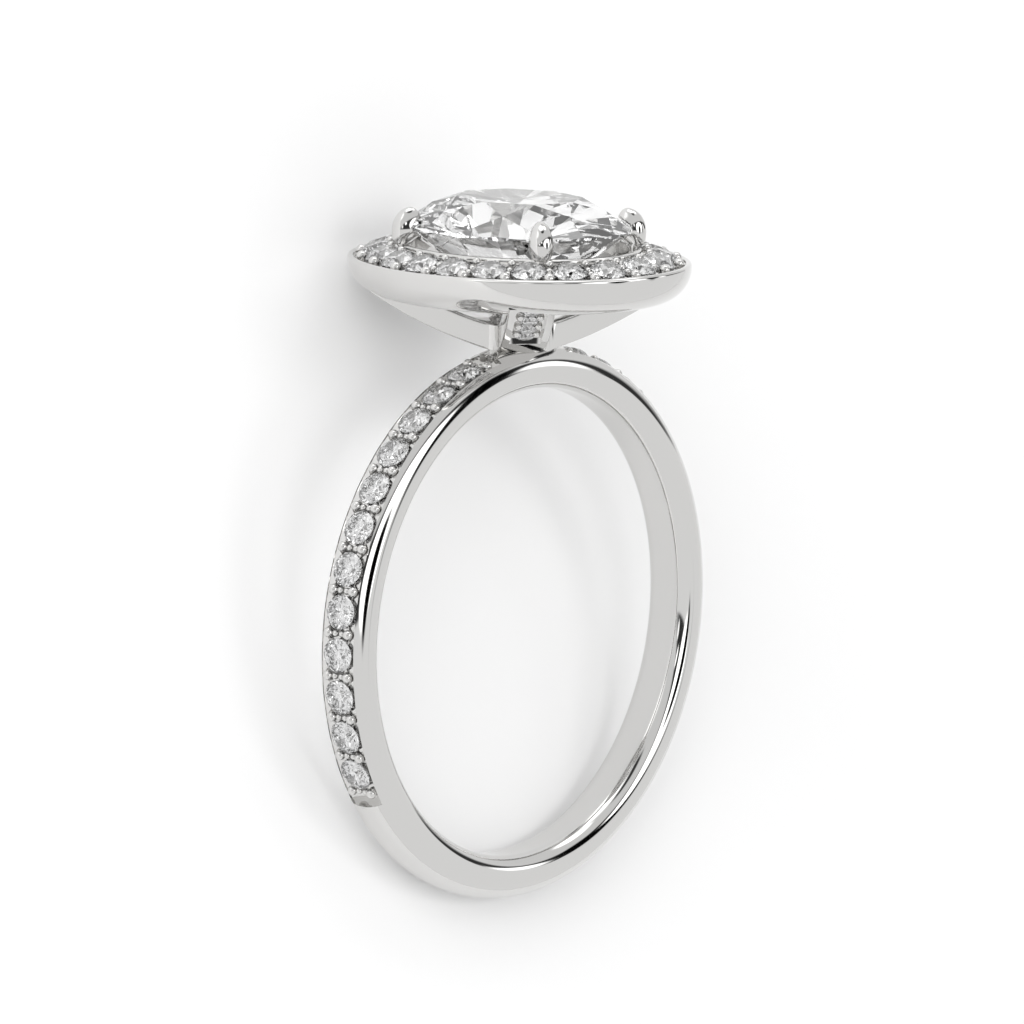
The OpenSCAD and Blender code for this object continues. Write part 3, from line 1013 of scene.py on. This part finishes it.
def tent_direction(azimuth, elevation):
    """A direction in the scene, from its degrees round the upright ring."""
    a, e = math.radians(azimuth), math.radians(elevation)
    return ring_direction(math.sin(a) * math.cos(e), -math.cos(a) * math.cos(e), math.sin(e))


def panel_mask(maths, way, azimuth, elevation, half_w, half_h, lean, soft):
    """1 within an oval panel of the tent and 0 outside it."""
    middle = tent_direction(azimuth, elevation)
    side = tent_direction(azimuth + 90, 0)
    rise = middle.cross(side)
    turned = Matrix.Rotation(math.radians(lean), 3, middle)
    across = maths.do("DIVIDE", maths.dot(way, turned @ side), math.sin(math.radians(half_w)))
    upward = maths.do("DIVIDE", maths.dot(way, turned @ rise), math.sin(math.radians(half_h)))
    across_squared = maths.do("MULTIPLY", across, across)
    upward_squared = maths.do("MULTIPLY", upward, upward)
    squares = maths.do("ADD", across_squared, upward_squared)
    mask = maths.blend(maths.do("SQRT", squares), 1 - soft, 1 + soft, 1.0, 0.0)
    return maths.do("MULTIPLY", mask, maths.do("GREATER_THAN", maths.dot(way, middle), 0.0))


def make_world():
    """The light tent, as a world of soft light round the ring."""
    world = bpy.data.worlds.new("studio")
    bpy.context.scene.world = world
    world.use_nodes = True
    tree = world.node_tree
    maths = Maths(tree)
    way = tree.nodes.new("ShaderNodeTexCoord").outputs["Generated"]
    height = maths.dot(way, ring_direction(0, 0, 1))
    level = maths.blend(height, *TENT_BLEND, TENT_LOW, TENT_HIGH)
    azimuth, half_w, half_h, soft, brightness = ARCH
    mask = panel_mask(maths, way, azimuth, 0, half_w, half_h, 0, soft)
    mask = maths.do("MULTIPLY", mask, maths.blend(height, *HORIZON_BLEND, 0.0, 1.0))
    level = maths.mix(level, brightness, mask)
    for azimuth, elevation, half_w, half_h, lean, soft, brightness in PATCHES:
        mask = panel_mask(maths, way, azimuth, elevation, half_w, half_h, lean, soft)
        level = maths.mix(level, brightness, mask)
    background = tree.nodes["Background"]
    background.inputs["Color"].default_value = (1, 1, 1, 1)
    tree.links.new(level, background.inputs["Strength"])


def softbox(name, size, direction, distance, power):
    """An area light that faces the ring from a direction."""
    data = bpy.data.lights.new(name, "AREA")
    data.shape = "RECTANGLE"
    data.size, data.size_y = size
    data.energy = power
    obj = bpy.data.objects.new(name, data)
    bpy.context.scene.collection.objects.link(obj)
    obj.location = direction * distance
    obj.rotation_mode = "QUATERNION"
    obj.rotation_quaternion = (-direction).to_track_quat("-Z", "Y")
    obj.visible_camera = False
    obj.visible_glossy = False
    obj.visible_transmission = False


def make_floor():
    pale = principled("pale_floor", (0.9, 0.9, 0.9), Roughness=0.7)
    data = bpy.data.meshes.new("floor")
    half = 2.0
    corners = [(-half, -half, 0), (half, -half, 0), (half, half, 0), (-half, half, 0)]
    data.from_pydata(corners, [], [(0, 1, 2, 3)])
    floor = bpy.data.objects.new("floor", data)
    bpy.context.scene.collection.objects.link(floor)
    data.materials.append(pale)


def ring_direction(x, y, z):
    """An upright direction as it lies in the scene."""
    return (POSE.to_3x3() @ Vector((x, y, z))).normalized()


def ring_place(x, y, z):
    """An upright point in millimetres as it lies in the scene."""
    return POSE @ Vector((x, y, z))


def make_camera():
    """The photo's camera, kept in its place round the ring as the ring lies.

    back points from the ring to the camera, and distance, across and upwards are millimetres.
    """
    azimuth = math.radians(50.157)
    elevation = math.radians(10.152)
    roll = math.radians(0.194)
    across, upwards, distance = 0.206, -4.001, 255.8
    level = math.cos(elevation)
    back = Vector((-math.sin(azimuth) * level, -math.cos(azimuth) * level, math.sin(elevation)))
    level_right = (-back).cross(Vector((0, 0, 1))).normalized()
    level_up = level_right.cross(-back)
    right = level_right * math.cos(roll) + level_up * math.sin(roll)
    up = level_up * math.cos(roll) - level_right * math.sin(roll)
    spot = -(across * right + upwards * up - distance * back)
    data = bpy.data.cameras.new("camera")
    data.lens = 243.4
    data.sensor_width = 36
    data.clip_start = 0.01
    data.clip_end = 20
    camera = bpy.data.objects.new("camera", data)
    bpy.context.scene.collection.objects.link(camera)
    axes = [ring_direction(*v) for v in (right, up, back)]
    turned = Matrix(axes).transposed().to_4x4()
    camera.matrix_world = Matrix.Translation(ring_place(*spot)) @ turned
    bpy.context.scene.camera = camera


def make_studio():
    make_world()
    make_floor()
    softbox("key_light", KEY_SIZE, tent_direction(*KEY_DIRECTION), KEY_DISTANCE, KEY_POWER)


make_camera()
make_studio()
scene = bpy.context.scene
scene.view_settings.view_transform = "Standard"
scene.cycles.max_bounces = 24
scene.cycles.transmission_bounces = 24
scene.cycles.glossy_bounces = 8
